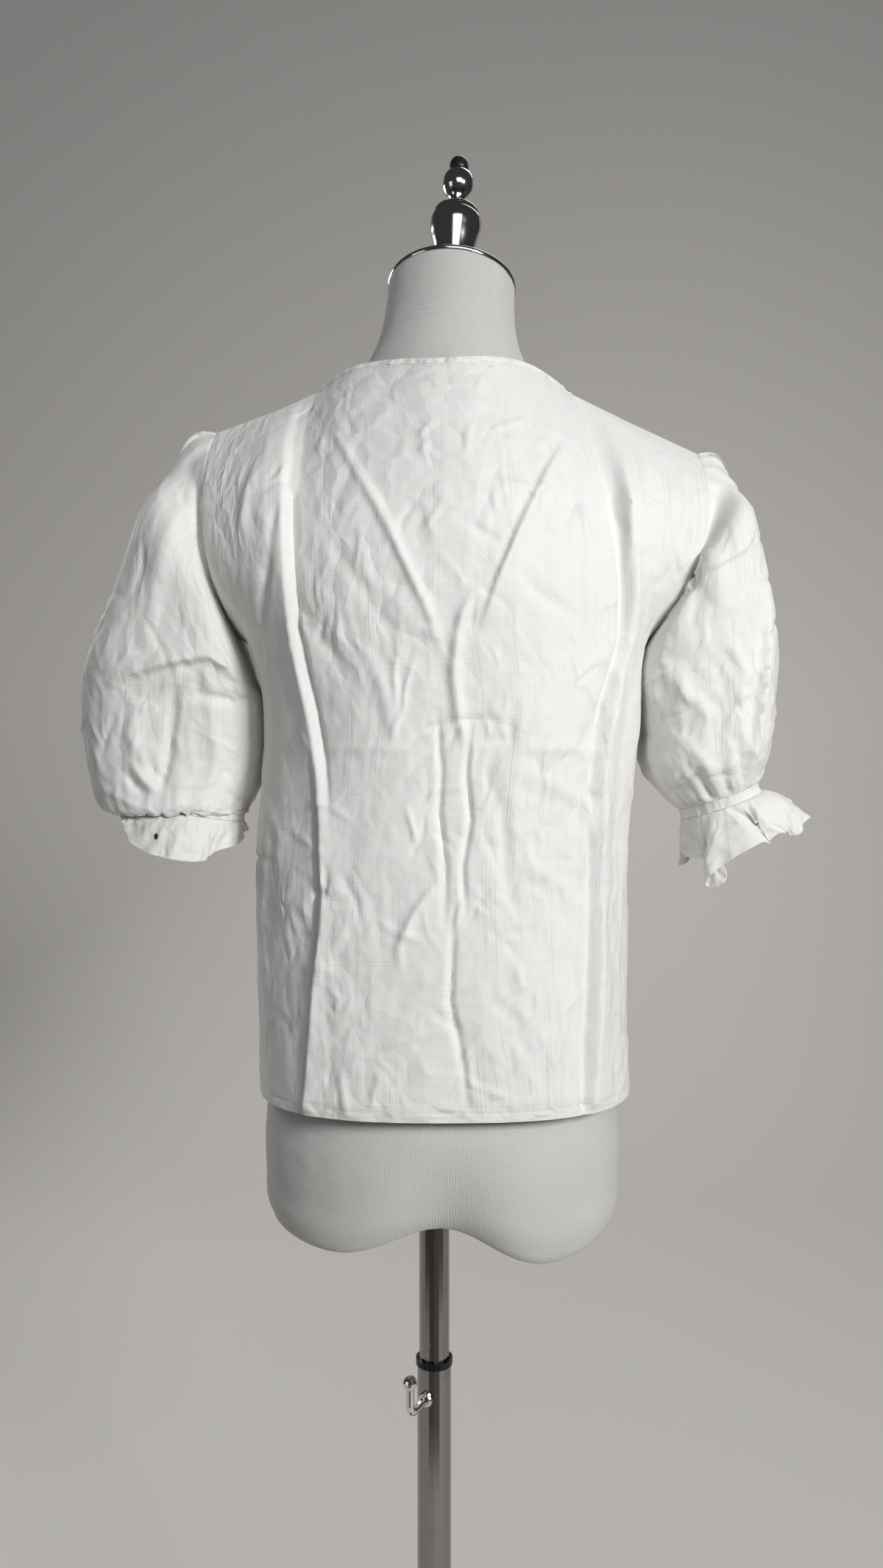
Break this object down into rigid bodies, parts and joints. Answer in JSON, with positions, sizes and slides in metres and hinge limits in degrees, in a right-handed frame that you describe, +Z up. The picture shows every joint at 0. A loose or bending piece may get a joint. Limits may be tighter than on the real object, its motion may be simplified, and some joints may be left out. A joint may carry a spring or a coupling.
{
  "type": "puff sleeve blouse on a dress form",
  "caption": "Short puff-sleeve cotton blouse with ruffled elastic cuffs, on a limbless dress form with a finial, sliding pole, clamp hook and round base",
  "frame": {"origin": "Under the base plate on the pole's axis", "axes": "+Z up; the blouse's back faces -Y and its front +Y; +X is on the right of someone who looks at the back"},
  "size_m": [0.6068, 0.3, 1.6046],
  "materials": {
    "cotton": "crumpled slub cotton, matt with a soft sheen",
    "jersey": "smooth grey jersey cover",
    "chrome": "bright polished",
    "black_plastic": "satin",
    "dark_metal": "satin"
  },
  "bodies": {
    "stand": {"base_plate": "chrome", "post": "chrome", "post_ring": "dark_metal", "hook_boss": "chrome"},
    "clamp": {"hook": "chrome"},
    "mast": {"mast": "chrome"},
    "figure": {"back_panel": "cotton", "front_panel": "cotton", "neck_binding": "cotton", "hem_back": "cotton", "hem_front": "cotton", "sleeve_left": "cotton", "sleeve_right": "cotton", "elastic_left": "cotton", "elastic_right": "cotton", "ruffle_left": "cotton", "ruffle_right": "cotton", "form": "jersey", "neck_cap": "chrome", "finial": "chrome", "finial_tip": "black_plastic"}
  },
  "joints": [
    {"name": "mast_slide", "type": "slide", "parent": "stand", "child": "mast", "axis": [0, 0, 1], "range_m": [-0.09, 0.25]},
    {"name": "figure_turn", "type": "hinge", "parent": "mast", "child": "figure", "pos_m": [0, 0, 0.75], "axis": [0, 0, 1], "continuous": true},
    {"name": "clamp_turn", "type": "hinge", "parent": "stand", "child": "clamp", "pos_m": [0, 0, 0.577], "axis": [-0.454, -0.891, 0], "continuous": true}
  ]
}
